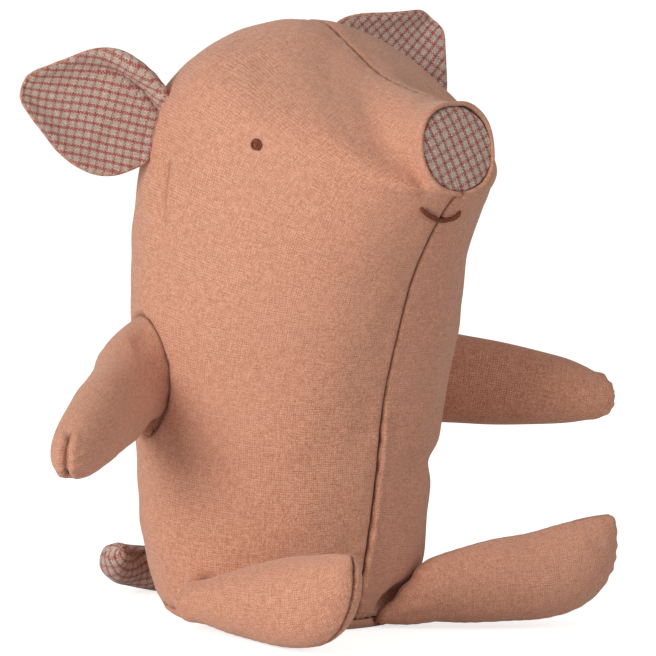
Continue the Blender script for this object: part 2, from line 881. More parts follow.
@dataclass
class Limb:
    """A stuffed limb: two panels sewn together round their edge, with stuffing.

    Each row: reach, half height, half thickness and rise, in millimetres.
    """

    kind: str
    side: Side
    rows: tuple[tuple[float, float, float, float], ...]
    length: float
    forward: float
    rise: float
    names: tuple[str, str]
    fullness: float
    form: BodyForm = BodyForm()
    crisp: bool = False
    lumpiness: float = 1.0
    first_seed: float = 11.0
    first_filling: float = 0.2
    last_filling: float = 0.97
    filling_inset: float = 2.8
    sag: Lumps = Lumps(0.7, 0.05)
    bumps: Lumps = Lumps(0.3, 0.15)
    tufts: Lumps = Lumps(0.4, 0.3)
    cloth: float = 0.9
    pattern_turn: float = 0.06
    cells: tuple[int, int] = (80, 150)
    filling_cells: int = 40
    probe: float = 0.01

    def __post_init__(self) -> None:
        """Sets the limb's frame, its smooth line of sections and its own unevenness."""
        self.body = f"{self.kind}_{self.side.word}"
        joint = next(item for item in frame["joints"] if item["name"].startswith(self.body))
        turn, lift = math.radians(self.forward), math.radians(self.rise)
        along = Vector((self.side.value * math.cos(turn) * math.cos(lift),
                        -math.sin(turn) * math.cos(lift), math.sin(lift)))
        level = UP.cross(along).normalized()
        self.frame = frame_at(joint_point(joint["name"]), along, level, along.cross(level))
        self.line = Line(self.rows)
        self.seed = 3.7 * self.side.value + self.first_seed

    def section(self, row: list[float], across: float, face: int) -> Vector:
        """A point of a section.

        Args:
            row: Reach, half height, half thickness and rise.
            across: From 0 at the bottom seam to 1 at the top seam.
            face: -1 or 1, the panel's side of the limb's middle plane.

        Returns:
            The point in the limb's frame.
        """
        reach, high, thick, rise = row
        angle = (across - 0.5) * math.pi
        depth = max(thick, 0.0) * max(math.cos(angle), 0.0) ** (2 * self.fullness)
        return Vector((reach, face * depth, math.sin(angle) * max(high, 0.0) + rise))

    def plain(self, across: float, share: float, face: int, inset: float = 0.0) -> Vector:
        """A point of the limb before folds, in its own frame, at a share from root to tip."""
        reach, high, thick, rise = self.line.at(share)
        row = [reach * (1 - inset / self.length), max(high - inset, 0.0), max(thick - inset, 0.0), rise]
        return self.section(row, across, face)

    def relief(self, point: Vector, across: float, face: int) -> float:
        """How far the cloth stands out from the plain form, but for what each limb adds itself."""
        height = self.sag.at(point, (self.seed, 2 * face, 0)) + self.bumps.at(point, (0, self.seed, 3 * face))
        return height * self.lumpiness * smooth(math.cos((across - 0.5) * math.pi), 0.0, 0.6)

    def away(self, point: Vector, across: float, share: float, face: int) -> Vector:
        """The outward direction at a point, in the limb's frame."""
        low, high = max(share - self.probe, 0.0), min(share + self.probe, 1.0)
        along = self.plain(across, high, face) - self.plain(across, low, face)
        near, far = max(across - self.probe, 0.0), min(across + self.probe, 1.0)
        over = self.plain(far, share, face) - self.plain(near, share, face)
        found = along.cross(over)
        if found.length < TINY:
            return Vector((1, 0, 0))
        outer = Vector((6.0, point.y, point.z - self.line.at(share)[3]))
        return found.normalized() * (-1 if found.dot(outer) < 0 else 1)

    def skin(self, across: float, share: float, face: int) -> Vector:
        """A point of a panel, in millimetres in the pig's frame."""
        point = self.plain(across, share, face)
        return self.frame @ (point + self.away(point, across, share, face) * self.relief(point, across, face))

    def shade(self, across: float, share: float, face: int) -> float:
        """How dark a point of a panel is, from 0 to 1."""
        return self.crease(self.plain(across, share, face), share, across)

    def panels(self, finishes: Finishes) -> list[bpy.types.Object]:
        """Makes the two cloth panels."""
        found = []
        middle = self.frame @ Vector((self.length * 0.4, 0, 0))
        for name, face in zip(self.names, (-1, 1)):
            place = partial(self.skin, face=face)
            pattern = RunPattern(place, turn=self.pattern_turn * face)
            piece = panel(f"{name}_cloth", self.cells, place, middle, pattern, self.cloth,
                          crisp=self.crisp, crease=partial(self.shade, face=face))
            finishes.salmon.dress(piece, name)
            self.carry(piece)
            found.append(piece)
        return found

    def filling(self, finishes: Finishes) -> bpy.types.Object:
        """Makes the stuffing."""
        def place(across: float, share: float) -> Vector:
            """A point of the stuffing's surface, once round the limb."""
            face, turn = (-1, across * 2) if across < 0.5 else (1, 2 - across * 2)
            run = self.first_filling + share * (self.last_filling - self.first_filling)
            point = self.plain(turn, run, face, self.filling_inset)
            return self.frame @ (point + UP * self.tufts.at(point))

        name = f"{self.body}_filling"
        piece = closed_form(f"{name}_fibre", self.filling_cells, self.filling_cells, place)
        finishes.stuffing.dress(piece, name)
        self.carry(piece)
        return piece


@dataclass
class Arm(Limb):
    """An arm that widens into its armhole and ends in a short sewn slit."""

    crisp: bool = True
    lumpiness: float = 0.5
    first_seed: float = 0.0
    first_filling: float = 0.0
    hole_station: float = 0.336
    hole_turn: float = 0.60
    hole_high: float = 0.056
    hole_wide: float = 0.104
    hole_inset: float = 1.2
    flare: float = 13.0
    flare_share: float = 0.16
    flare_ease: float = 1.3
    meet_depth: float = 5.0
    meet_range: tuple[float, float] = (-16.0, 6.0)
    tip_lean: float = 0.14
    tip_round: float = 4.2
    lips: Fold = Fold(0.7, 1.3, 2.4)
    slit: Fold = Fold(-1.3, 0.75)
    slit_gathers: Gathers = Gathers(0.45, 3.2, 2.2, 2.6)
    hole_gathers: Gathers = Gathers(0.25, 6.5, 6.0, 2.0)
    gusset: Fold = Fold(-2.6, 0.07, 0.2)
    gusset_edge: Fold = Fold(1.0, 0.045, 0.075)
    hole_dark: float = 0.85
    slit_dark: float = 0.75
    flex: tuple[float, float] = (-6.0, 9.0)

    @classmethod
    def build(cls, side: Side) -> "Arm":
        """Sets out one arm."""
        length, high, thick = 75.0, 36.0, 26.4
        shares = ((0.0, 1.0, 1.0, 0.0), (0.06, 0.97, 0.95, 0.0), (0.13, 0.91, 0.87, 0.0), (0.27, 0.86, 0.81, 0.4),
                  (0.45, 0.81, 0.79, 1.4), (0.63, 0.72, 0.74, 1.9), (0.79, 0.62, 0.66, 2.2), (0.90, 0.53, 0.54, 2.5),
                  (0.965, 0.45, 0.38, 2.9), (0.995, 0.39, 0.17, 3.3), (1.0, 0.37, 0.0, 3.4))
        forward, droop, rise = (35.0, 15.5, 1.0) if side is Side.RIGHT else (40.0, 3.5, 0.0)
        rows = tuple((x * length, h * high / 2, t * thick / 2, lift * rise) for x, h, t, lift in shares)
        names = (f"arm_{side.word}_front", f"arm_{side.word}_back")
        return cls("arm", side, rows, length, forward, -droop, names[::side.value], 0.5)

    def __post_init__(self) -> None:
        """Keeps the arm's sections by their reach, and its armhole's points once they are worked out."""
        super().__post_init__()
        self.table = [self.line.at(i / 600) for i in range(601)]
        self.reaches = [row[0] for row in self.table]
        self.holes: dict[tuple[float, int], Vector] = {}
        self.hole_normal = self.form.normal(self.hole_station, self.hole_turn * self.side.value)

    def hole(self, across: float, face: int) -> Vector:
        """A point of the armhole, on the body's form in the pig's frame."""
        key = (round(across, 6), face)
        if key not in self.holes:
            angle = (across - 0.5) * math.pi
            station = self.hole_station + math.sin(angle) * self.hole_high
            turn = (self.hole_turn + self.side.value * face * math.cos(angle) * self.hole_wide) * self.side.value
            self.holes[key] = self.form.point(station, turn) - self.form.normal(station, turn) * self.hole_inset
        return self.holes[key]

    def plain(self, across: float, share: float, face: int, inset: float = 0.0) -> Vector:
        """A point of the arm before folds: from the armhole it flares over into the arm's own sections."""
        if inset:
            return super().plain(across, share, face, inset)
        back = self.frame.to_3x3().transposed() @ self.hole_normal
        edge = self.section([0.0, *self.line.at(0.0)[1:]], across, face)
        meet = (-self.meet_depth - edge.y * back.y - edge.z * back.z) / back.x
        meet = min(max(meet, self.meet_range[0]), self.meet_range[1])
        start = meet + self.flare
        if share > self.flare_share:
            rest = (share - self.flare_share) / (1 - self.flare_share)
            reach = start + (self.length - start) * (1 - (1 - rest) ** self.flare_ease)
            return self.section(self.at_reach(reach), across, face)
        t = share / self.flare_share
        hole = self.frame.inverted() @ self.hole(across, face)
        bend_point = self.section([meet, *self.at_reach(start)[1:]], across, face)
        last = self.section(self.at_reach(start), across, face)
        return hole * (1 - t) ** 2 + bend_point * (2 * t * (1 - t)) + last * t * t

    def at_reach(self, reach: float) -> list[float]:
        """The section at a distance from the joint."""
        if reach <= 0:
            return [reach, *self.table[0][1:]]
        after = min(max(bisect_left(self.reaches, reach), 1), len(self.table) - 1)
        first, second = self.table[after - 1], self.table[after]
        share = (reach - first[0]) / max(second[0] - first[0], TINY)
        return [a + (b - a) * share for a, b in zip(first, second)]

    def section(self, row: list[float], across: float, face: int) -> Vector:
        """A point of a section, tilted towards the tip so that the slit leans."""
        point = super().section(row, across, face)
        tip = smooth(row[0], self.length * 0.72, self.length)
        rise = point.z - row[3]
        point.x -= (self.tip_lean * rise + self.tip_round * (abs(rise) / max(row[1], 1.0)) ** 3) * tip
        return point

    def relief(self, point: Vector, across: float, face: int) -> float:
        """Adds the gathers at the slit and the small folds at the armhole."""
        height = super().relief(point, across, face) * smooth(point.x, -2, 14)
        end = self.length - point.x
        apart = abs(point.y) + 0.4 * max(end - 3, 0.0)
        inner = smooth(math.cos((across - 0.5) * math.pi), 0.0, 0.5)
        height += smooth(end, 9, 4) * inner * (self.lips.at(abs(point.y)) + self.slit.at(point.y))
        height += self.slit_gathers.at(point.z, apart, self.seed + face) * inner
        height += self.hole_gathers.at(point.z + 60 * (point.y > 0), point.x, self.seed + 2)
        behind = smooth(point.x, 14, 5) * (face == -self.side.value)
        return height + behind * (self.gusset.at(across) + self.gusset_edge.at(across))

    def crease(self, point: Vector, share: float, across: float) -> float:
        """How dark the cloth is: at the armhole, and in the slit at the tip."""
        slit = bell(point.y, 0.7) * smooth(self.length - point.x, 8, 5) * smooth(share, 0.8, 0.9)
        slit *= math.cos((across - 0.5) * math.pi) ** 0.3
        return self.hole_dark * smooth(share, 0.018, 0.0) + self.slit_dark * slit

    def carry(self, piece: bpy.types.Object) -> None:
        """Lets a piece bend outside the armhole, across the joint."""
        bend(piece, self.body, *(self.frame.translation + self.hole_normal * reach for reach in self.flex))


@dataclass
class Leg(Limb):
    """A leg like a leaf: narrow at its root, broad at the foot, with the toe turned up."""

    root: tuple[float, float, float] = (7.2, 7.2, 9.0)
    seam: Fold = Fold(-1.0, 0.85)
    gathers: Gathers = Gathers(0.32, 4.4, 1.7, 2.4)
    root_puckers: Fold = Fold(0.35, 6.0, -1.0)
    flex: tuple[float, float] = (-4.0, 12.0)

    @classmethod
    def build(cls, side: Side) -> "Leg":
        """Sets out one leg."""
        length, high, thick = 77.0, 30.5, 25.0
        shares = ((0.10, 0.55, 0.74, 0.0), (0.22, 0.69, 0.82, -0.01), (0.41, 0.87, 0.93, -0.01),
                  (0.59, 0.99, 1.0, 0.0), (0.75, 0.99, 0.93, 0.02), (0.87, 0.88, 0.72, 0.09),
                  (0.95, 0.65, 0.46, 0.20), (0.99, 0.38, 0.22, 0.32), (1.0, 0.0, 0.0, 0.42))
        names = (f"leg_{side.word}_outer", f"leg_{side.word}_inner")
        if side is Side.RIGHT:
            root, forward, pitch = cls.root, 92.0, 8.5
            ball = tuple((-math.cos(a) * root[0], math.sin(a) * root[1], math.sin(a) * root[2], 0.0)
                         for a in (math.pi / 8 * i for i in range(5)))
        else:
            root, forward, pitch = (13.0, 6.6, 8.0), 21.0, 12.0
            ball = ((-14.0, 0.0, 0.0, -2.8), (-11.0, 2.4, 2.2, -2.6), (-5.0, 5.0, 4.6, -1.4), (1.5, 8.2, 7.4, 0.8))
            shares = ((0.10, 0.70, 0.78, 0.085), (0.22, 0.82, 0.86, 0.07), (0.41, 0.94, 0.95, 0.045), *shares[3:])
        rows = (*ball, *((x * length, h * high / 2, t * thick / 2, r * high) for x, h, t, r in shares))
        return cls("leg", side, rows, length, forward, pitch, names[::-side.value], 0.56, root=root)

    def relief(self, point: Vector, across: float, face: int) -> float:
        """Adds the seam round the edge, gathered most at the foot."""
        toe = smooth(point.x, self.length * 0.7, self.length * 0.95)
        seam = abs(point.y)
        under = max(toe, 0.35 if across < 0.5 else 0.2)
        run = point.z if toe > 0.5 else point.x
        height = self.seam.at(seam) + self.gathers.at(run, seam, self.seed + face)
        ripple = self.root_puckers.at(point.x) * math.sin(point.z * 1.1 + self.seed)
        return super().relief(point, across, face) + height * under + ripple

    def crease(self, point: Vector, share: float, _across: float) -> float:
        """How dark the cloth is: in the seam, most at the foot."""
        foot = smooth(point.x, self.length * 0.74, self.length * 0.86)
        uneven = 0.8 + 0.2 * math.sin(point.z * 2.1)
        return bell(abs(point.y), 0.6) * (0.25 + 0.6 * foot * uneven) + 0.6 * smooth(share, 0.1, 0.02)

    def carry(self, piece: bpy.types.Object) -> None:
        """Lets a piece bend from the body into the leg across the joint."""
        bend(piece, self.body, *(self.frame @ Vector((reach, 0, 0)) for reach in self.flex))


@dataclass
class Ear:
    """A pointed ear of check cloth with a salmon back, folded along its upper edge near the root."""

    side: Side
    length: float = 47.0
    width: float = 44.0
    cup: float = 6.0
    root_cup: float = 3.5
    inset: float = 3.0
    fold_width: float = 7.2
    fold_height: float = 3.4
    fold_groove: Fold = Fold(-2.3, 1.6, 7.632)
    droop: float = 2.4
    right_upper: Fold = Fold(-3.0, 0.3, 0.28)
    right_lower: Fold = Fold(-1.6, 0.25, 0.15)
    left_upper: Fold = Fold(-6.5, 0.34, 0.42)
    flex: float = 8.0
    probe: float = 0.004
    sag: Lumps = Lumps(0.35, 0.12)
    bumps: Lumps = Lumps(0.16, 0.35)
    rim_roll: Fold = Fold(0.25, 1.3, 2.2)
    rim_gathers: Gathers = Gathers(0.2, 4.6, 3.0)
    outline: Line = Line(((0.0, 0.26), (0.10, 0.36), (0.22, 0.45), (0.36, 0.50), (0.50, 0.49), (0.64, 0.42),
                          (0.77, 0.31), (0.88, 0.212), (0.95, 0.148), (0.985, 0.094), (1.0, 0.0)))

    def __post_init__(self) -> None:
        """Sets the ear's frame."""
        self.body = f"ear_{self.side.word}"
        way, facing = {
            Side.RIGHT: (Vector((-0.89, 0.38, 0.29)), Vector((-0.55, -0.83, 0.05))),
            Side.LEFT: (Vector((0.68, 0.02, 0.76)), Vector((-0.35, -0.93, 0.1))),
        }[self.side]
        along = way.normalized()
        across = along.cross(facing).normalized()
        self.frame = frame_at(joint_point(f"{self.body}_flex"), along, across.cross(along), across)

    def middle(self, across: float, share: float) -> Vector:
        """A point of the ear's middle sheet in its own frame, across from -1 to 1."""
        reach, half = self.outline.at(share)
        cup = (self.root_cup + (self.cup - self.root_cup) * math.sin(reach * math.pi)) * smooth(half, 0.0, 0.16)
        point = Vector((reach * self.length - self.inset * (1 - reach), cup * (across * across - 0.5),
                        across * half * self.width))
        if self.side is Side.RIGHT:
            upper, fade = across, smooth(reach, 0.66, 0.3)
            point.z -= self.droop * smooth(reach, 0.4, 1.0)
            point.z += self.right_upper.at(reach) * max(upper, 0.0) + self.right_lower.at(reach) * max(-upper, 0.0)
        else:
            upper, fade = -across, 0.8 * smooth(reach, 0.42, 0.16)
            point.z += self.left_upper.at(reach) * max(upper, 0.0)
        edge = (1 - upper) * half * self.width
        strip = max(1 - ((edge - self.fold_width * 0.42) / (self.fold_width * 0.5)) ** 2, 0.0)
        point.y += fade * (self.fold_height * strip + self.fold_groove.at(edge))
        return point

    def point(self, across: float, share: float, offset: float) -> Vector:
        """A point of a panel, in the pig's frame.

        Args:
            across: From 0 at the lower edge to 1 at the upper edge.
            share: From 0 at the root to 1 at the tip.

        Returns:
            The point.
        """
        wide = 2 * across - 1
        low, high = max(share - self.probe, 0.0), min(share + self.probe, 1.0)
        over = self.middle(wide + self.probe, share) - self.middle(wide - self.probe, share)
        away = over.cross(self.middle(wide, high) - self.middle(wide, low))
        away = away.normalized() if away.length > TINY else Vector((0, 1, 0))
        reach, half = self.outline.at(share)
        rim = min((1 - abs(wide)) * half * self.width, (1 - reach) * self.length * 1.2)
        where = Vector((reach * self.length, wide * half * self.width, 5.0 * offset + self.side.value))
        height = 0.16 + 0.95 * (1 - math.exp(-rim / 1.5)) + self.rim_roll.at(rim)
        height += (self.sag.at(where) + self.bumps.at(where)) * smooth(rim, 0.0, 1.5)
        height += self.rim_gathers.at(where.x, rim, offset + where.y * 0.02) * smooth(rim, 0.0, 0.6)
        return self.frame @ (self.middle(wide, share) + away * offset * height)

    def build(self, finishes: Finishes) -> list[bpy.types.Object]:
        """Makes both panels and lets them bend out of the head."""
        def plain(across: float, share: float) -> Vector:
            """A point of the middle sheet."""
            return self.middle(2 * across - 1, share)

        found = []
        front_turn = -0.1 if self.side is Side.RIGHT else 0.05
        for word, offset, finish, turn in (("front", 1.0, finishes.check, front_turn),
                                           ("back", -1.0, finishes.salmon, 0.1)):
            name = f"{self.body}_{word}"
            behind = self.frame @ Vector((self.length * 0.4, -60.0 * offset, 0))
            piece = panel(f"{name}_cloth", (90, 100), partial(self.point, offset=offset), behind,
                          RunPattern(plain, turn=turn), 0.8)
            finish.dress(piece, name)
            bend(piece, self.body, self.frame.translation, self.frame @ Vector((self.flex, 0, 0)))
            found.append(piece)
        return found


@dataclass
class Tail:
    """A tapering roll of check cloth, curled to one side."""

    reach: float = 40.0
    thickness: float = 15.2
    length: float = 62.0
    rounding: float = 5.0
    bumps: Lumps = Lumps(0.5, 0.35)
    flex: float = 9.0
    path: Line = Line(((-0.10, 0.0, 0.0), (0.22, 0.06, -0.02), (0.42, 0.28, -0.02), (0.44, 0.56, 0.02),
                       (0.30, 0.82, 0.10), (0.10, 0.94, 0.24)))
    taper: Line = Line(((0.75,), (1.0,), (1.0,), (0.94,), (0.78,), (0.42,)))

    def __post_init__(self) -> None:
        """Sets the tail's frame: X straight back, Y to the pig's right."""
        self.frame = frame_at(joint_point("tail_swing"), Vector((0, 1, 0)), Vector((-1, 0, 0)), UP)

    def centre(self, share: float) -> Vector:
        """A point of the roll's middle line, in the tail's frame."""
        return Vector(self.path.at(share)) * self.reach

    def point(self, around: float, share: float) -> Vector:
        """A point of the roll in the pig's frame, around from 0 to 1."""
        run = min(max(share, 0.0), 1.0)
        way = (self.centre(min(run + 0.01, 1.0)) - self.centre(max(run - 0.01, 0.0))).normalized()
        first = way.cross(UP).normalized()
        second = first.cross(way)
        radius = self.taper.at(run)[0] * self.thickness / 2
        end = min(run, 1 - run) * self.length
        radius *= math.sqrt(max(1 - max(1 - end / self.rounding, 0.0) ** 2, 0.0))
        turn = (around - 0.18 - 0.3 * run) % 1.0
        lap = 1.0 - 0.16 * math.exp(-turn / 0.045) + 0.07 * math.exp(-(1 - turn) / 0.05)
        angle = 2 * math.pi * around
        where = Vector((math.cos(angle) * 4, math.sin(angle) * 4, run * 22))
        radius = max(radius * lap + self.bumps.at(where) * smooth(radius, 0.0, 3.0), 0.0)
        return self.frame @ (self.centre(run) + (first * math.cos(angle) + second * math.sin(angle)) * radius)

    def build(self, finishes: Finishes) -> bpy.types.Object:
        """Makes the roll and lets it bend out of the back seam."""
        def plain(across: float, share: float) -> Vector:
            """The same point of an even roll, unrolled."""
            width = self.taper.at(share)[0] * self.thickness / 2
            return self.centre(share) + Vector((0, width * 2 * math.pi * across, 0))

        mesh, layer = grid_mesh(*(((110, 130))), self.point)
        lay_pattern(mesh, layer, RunPattern(plain, turn=0.5))
        bmesh.ops.remove_doubles(mesh, verts=mesh.verts, dist=1e-6)
        bmesh.ops.recalc_face_normals(mesh, faces=mesh.faces)
        piece = finishes.check.dress(make_object("tail_roll", mesh), "tail")
        bend(piece, "tail", self.frame.translation, self.frame @ Vector((self.flex, 0, 0)))
        return piece


@dataclass
class Body:
    """The head and body in one: two side panels, a base panel and the stuffing."""

    arms: list[Arm]
    legs: list[Leg]
    ears: list[Ear]
    form: BodyForm = BodyForm()
    first: float = 0.058
    crowding: float = 0.35
    rim_share: float = 0.955
    rim_radius: float = 0.75
    rim_turn: float = 205.0
    eye_station: float = 0.632
    eye_turn: float = 0.449
    waist: float = 55.0
    sag: Lumps = Lumps(1.1, 0.035)
    bumps: Lumps = Lumps(0.4, 0.1)
    tufts: Lumps = Lumps(0.8, 0.08)
    cloth: float = 1.1
    middle: Vector = Vector((0, 5.75, 0)).freeze()
    base_flat: float = 0.84
    base_size: tuple[float, float] = (84.0, 80.0)
    base_girth: float = 140.0
    front_run: float = 230.0
    back_run: float = 330.0
    ear_root: float = 10.0
    dart: tuple[tuple[float, float], ...] = ((0.545, 0.6), (0.483, 0.558))
    rim_drop: float = 0.6
    filling_span: tuple[float, float] = (0.03, 0.97)
    filling_floor: float = 3.5
    filling_inset: float = 5.0
    socket_ease: float = 0.9
    filling_ease: float = 4.0
    seam_depth: float = 0.75
    seam_deeper: float = 0.35
    seam_width: float = 0.8
    waist_fold: Fold = Fold(2.4, 5.5)
    thigh_swell: Fold = Fold(-0.8, 8.0, -32.0)
    eye_dent: Fold = Fold(-0.8, 3.4)
    eye_puckers: Fold = Fold(0.16, 2.6, 4.2)
    front_ridge: Fold = Fold(0.75, 1.1, 2.2)
    base_seam: Fold = Fold(-0.5, 2.2, 4.0)
    snout_roll: Fold = Fold(0.9, 2.2)
    snout_neck: Fold = Fold(-1.2, 4.0, 8.0)
    fold_depth: Fold = Fold(1.3, 2.6)
    ear_seam: Fold = Fold(-1.0, 2.0)
    ear_puckers: Fold = Fold(0.25, 3.0, 3.0)
    dart_dent: Fold = Fold(-2.6, 13.0)
    dart_seam: Fold = Fold(-0.6, 0.9)
    hole_groove: Fold = Fold(-1.7, 0.8)
    hole_puckers: Fold = Fold(0.22, 2.0, 2.6)
    arm_pull: Fold = Fold(-0.8, 0.006, 0.577)
    hole_press: float = 3.5
    hole_size: float = 16.0
    base_gathers: Gathers = Gathers(0.3, 5.5, 6.0, 4.0)
    fold: tuple[Vector, ...] = (Vector((15.8, -61.4, 169.1)), Vector((15.1, -65.6, 160.3)),
                                Vector((11.3, -67.2, 151.3)))

    def __post_init__(self) -> None:
        """Keeps the places that the cloth is drawn in to."""
        self.sockets = [(leg.frame.inverted(), Vector((leg.root[0], leg.root[2], leg.root[1])))
                        for leg in self.legs]
        self.ear_roots = {ear.side: [ear.frame @ (UP * way * self.ear_root) for way in (-1, 1)]
                          for ear in self.ears}
        self.darts = {side: [self.form.point(station, turn * side.value) for station, turn in self.dart]
                      for side in Side}
        self.eye = self.form.point(self.eye_station, self.eye_turn)
        self.snout = self.snout_frame()
        self.from_snout = self.snout.inverted()

    def snout_frame(self) -> Matrix:
        """The frame of the snout's end: X level, Y out of the snout, Z up along it."""
        front_y, front_z, back_y, back_z, _, _ = ring_of(self.form, 1.0)
        bottom, top = Vector((0, -front_y, front_z)), Vector((0, -back_y, back_z))
        rise = (top - bottom).normalized()
        out = Vector((1, 0, 0)).cross(rise)
        if out.y > 0:
            out.negate()
        return frame_at((top + bottom) / 2, out.cross(rise), out, rise)

    def spot(self, across: float, along: float) -> tuple[float, float]:
        """The station and turn of a point of a side panel, with more cells near the seams."""
        turn = across - self.crowding * math.sin(2 * math.pi * across) / (2 * math.pi)
        return self.first + (1 - self.first) * min(along / self.rim_share, 1.0), turn

    def socket_depth(self, point: Vector, inward: Vector, ease: float) -> float:
        """How far a point is drawn in to make room for a leg's root.

        Args:
            point: The point of the skin or the stuffing.
            inward: The direction that it moves in.
            ease: The room round the root, in millimetres.

        Returns:
            The distance in millimetres.
        """
        deepest = 0.0
        for inverse, radii in self.sockets:
            wide = radii + Vector((ease, ease, ease))
            place, way = inverse @ point, inverse.to_3x3() @ inward
            place = Vector([a / b for a, b in zip(place, wide)])
            way = Vector([a / b for a, b in zip(way, wide)])
            a, b, c = way.dot(way), place.dot(way), place.dot(place) - 1
            if c < 0:
                deepest = max(deepest, (-b + math.sqrt(b * b - a * c)) / a + 0.8)
            else:
                deepest = max(deepest, 1.1 * bell((place.length - 1) * 12, 2.0))
        return deepest

    def relief(self, point: Vector, station: float, turn: float, side: Side) -> float:
        """How far the sewn and stuffed skin stands out from the plain form.

        Args:
            point: The point of the form.
            station: Its station, from 0 at the base to 1 at the snout's end.
            turn: Its turn, from 0 at the front seam to 1 at the back seam.
            side: The panel.

        Returns:
            The height in millimetres.
        """
        seam = abs(point.x)
        off = smooth(seam, 0.0, 4.0)
        height = self.seams(point, station, turn, side) + self.snout_relief(point, turn)
        height += self.sag.at(point, (4, 2, 9)) * smooth(seam, 1.0, 9.0)
        height += self.bumps.at(point, (1, 8, 3)) * smooth(seam, 0.5, 5.0)
        belly = (smooth(turn, 0.03, 0.12) * smooth(turn, 0.55, 0.38) if side is Side.LEFT
                 else 0.2 * bell(turn - 0.2, 0.1))
        above = point.z - self.waist
        height -= off * belly * (self.waist_fold.at(above) + self.thigh_swell.at(above))
        away = point - Vector((self.eye.x * side.value, self.eye.y, self.eye.z))
        height += self.eye_dent.at(away.length)
        height += self.eye_puckers.at(away.length) * math.sin(7 * math.atan2(away.z, away.y) + 1.1)
        return height + off * (self.ear_pulls(point, side) + self.armhole(station, turn))

    def snout_relief(self, point: Vector, turn: float) -> float:
        """The relief of the snout: its rolled end, its neck and the soft fold beside the disc."""
        flat = self.from_snout @ point
        height = self.snout_roll.at(-flat.y) + self.snout_neck.at(-flat.y) * smooth(turn, 0.3, 0.6)
        spot = Vector((abs(point.x), point.y, point.z))
        away = min(beside(spot, first, second)[1] for first, second in zip(self.fold, self.fold[1:]))
        depth = self.fold_depth.at(away) * smooth(point.z, 148, 154) * smooth(point.z, 174, 164)
        return height * bell(math.hypot(flat.x, flat.z), 30) - depth

    def seams(self, point: Vector, station: float, turn: float, side: Side) -> float:
        """The relief of the median seam and of the base seam."""
        seam = abs(point.x) + 3 * smooth(station, 0.94, 0.975)
        run = station * (self.front_run if turn < 0.5 else self.back_run)
        low = smooth(point.z, 82, 66) * (turn < 0.5)
        height = -(self.seam_depth + self.seam_deeper * low) * bell(seam, self.seam_width)
        gathers = Gathers(0.22 + 0.2 * low, 6.0, 3.0, 1.5)
        height += gathers.at(run, seam, side.value * 2.0) * smooth(seam, 0.0, 1.5)
        if side is Side.LEFT:
            height += self.front_ridge.at(seam) * low * smooth(point.z, 4, 12)
        around = math.atan2(point.x, -point.y) * 45
        return height + self.base_seam.at(point.z) + self.base_gathers.at(around, point.z, 3.3)

    def ear_pulls(self, point: Vector, side: Side) -> float:
        """The relief at the ear's root and along the dart below it."""
        share, away = beside(point, *self.ear_roots[side])
        height = self.ear_seam.at(away) + self.ear_puckers.at(away) * math.sin(share * 26 + away)
        share, away = beside(point, *self.darts[side])
        return (height + self.dart_dent.at(away) * (1 - 0.35 * share)
                + self.dart_seam.at(away) * (1 - 0.7 * share))

    def ring(self, station: float, turn: float) -> tuple[float, float]:
        """How far a point lies from the armhole's middle, in armhole radii, and its angle there."""
        hole = self.arms[0]
        high, wide = (station - hole.hole_station) / hole.hole_high, (turn - hole.hole_turn) / hole.hole_wide
        return math.hypot(high, wide), math.atan2(high, wide)

    def armhole(self, station: float, turn: float) -> float:
        """The relief where an arm is sewn in: a thin groove, with the skin pressed in behind the arm."""
        ring, angle = self.ring(station, turn)
        if ring > 2.5:
            return 0.0
        apart = (ring - 1) * self.hole_size
        height = self.hole_groove.at(apart) - self.hole_press * smooth(ring, 0.97, 0.6)
        height += self.hole_puckers.at(apart) * math.sin(15 * angle) * (ring > 1)
        return height + self.arm_pull.at(turn) * smooth(station, 0.242, 0.262) * smooth(station, 0.29, 0.275)

    def crease(self, across: float, along: float, side: Side) -> float:
        """How dark a point of a side panel is, in its seams and where arms, ears and dart are sewn."""
        station, turn = self.spot(across, along)
        point = self.form.point(station, turn * side.value)
        found = 0.8 * bell((self.ring(station, turn)[0] - 1) * self.hole_size, 0.8)
        found += (0.75 if turn < 0.5 else 0.55) * bell(point.x, 0.6) * smooth(station, 0.97, 0.93)
        found += 0.6 * bell(beside(point, *self.ear_roots[side])[1], 1.6)
        share, away = beside(point, *self.darts[side])
        found += 0.5 * bell(away, 0.7) * (1 - 0.6 * share)
        return min(found + 0.5 * bell(point.z - 3.6, 0.9), 1.0)

    def skin(self, across: float, along: float, side: Side) -> Vector:
        """A point of a side panel.

        Args:
            across: From 0 at the front seam to 1 at the back seam.
            along: From 0 at the base seam to 1 under the snout disc.
            side: Which panel.

        Returns:
            The point.
        """
        station, turn = self.spot(across, along)
        point = self.form.point(station, turn * side.value)
        normal = self.form.normal(station, turn * side.value)
        point += normal * self.relief(point, station, turn, side)
        point -= normal * self.socket_depth(point, -normal, self.socket_ease) * smooth(point.z, 3, 9)
        if along > self.rim_share:
            point = self.rim(point, (along - self.rim_share) / (1 - self.rim_share))
        point.x = max(point.x * side.value, 0.0) * side.value
        return point

    def plain(self, across: float, along: float, side: Side) -> Vector:
        """A point of a side panel before folds, without its rim."""
        station, turn = self.spot(across, along * self.rim_share)
        return self.form.point(station, turn * side.value)

    def rim(self, edge: Vector, share: float) -> Vector:
        """A point of the rolled rim that runs from the skin's edge in under the snout disc."""
        flat = self.from_snout @ edge
        way = Vector((flat.x, 0, flat.z)).normalized()
        angle = share * math.radians(self.rim_turn)
        point = flat + way * (math.cos(angle) - 1) * self.rim_radius
        point.y = flat.y + math.sin(angle) * self.rim_radius - (self.rim_drop if math.sin(angle) < 0 else 0.0)
        return self.snout @ point

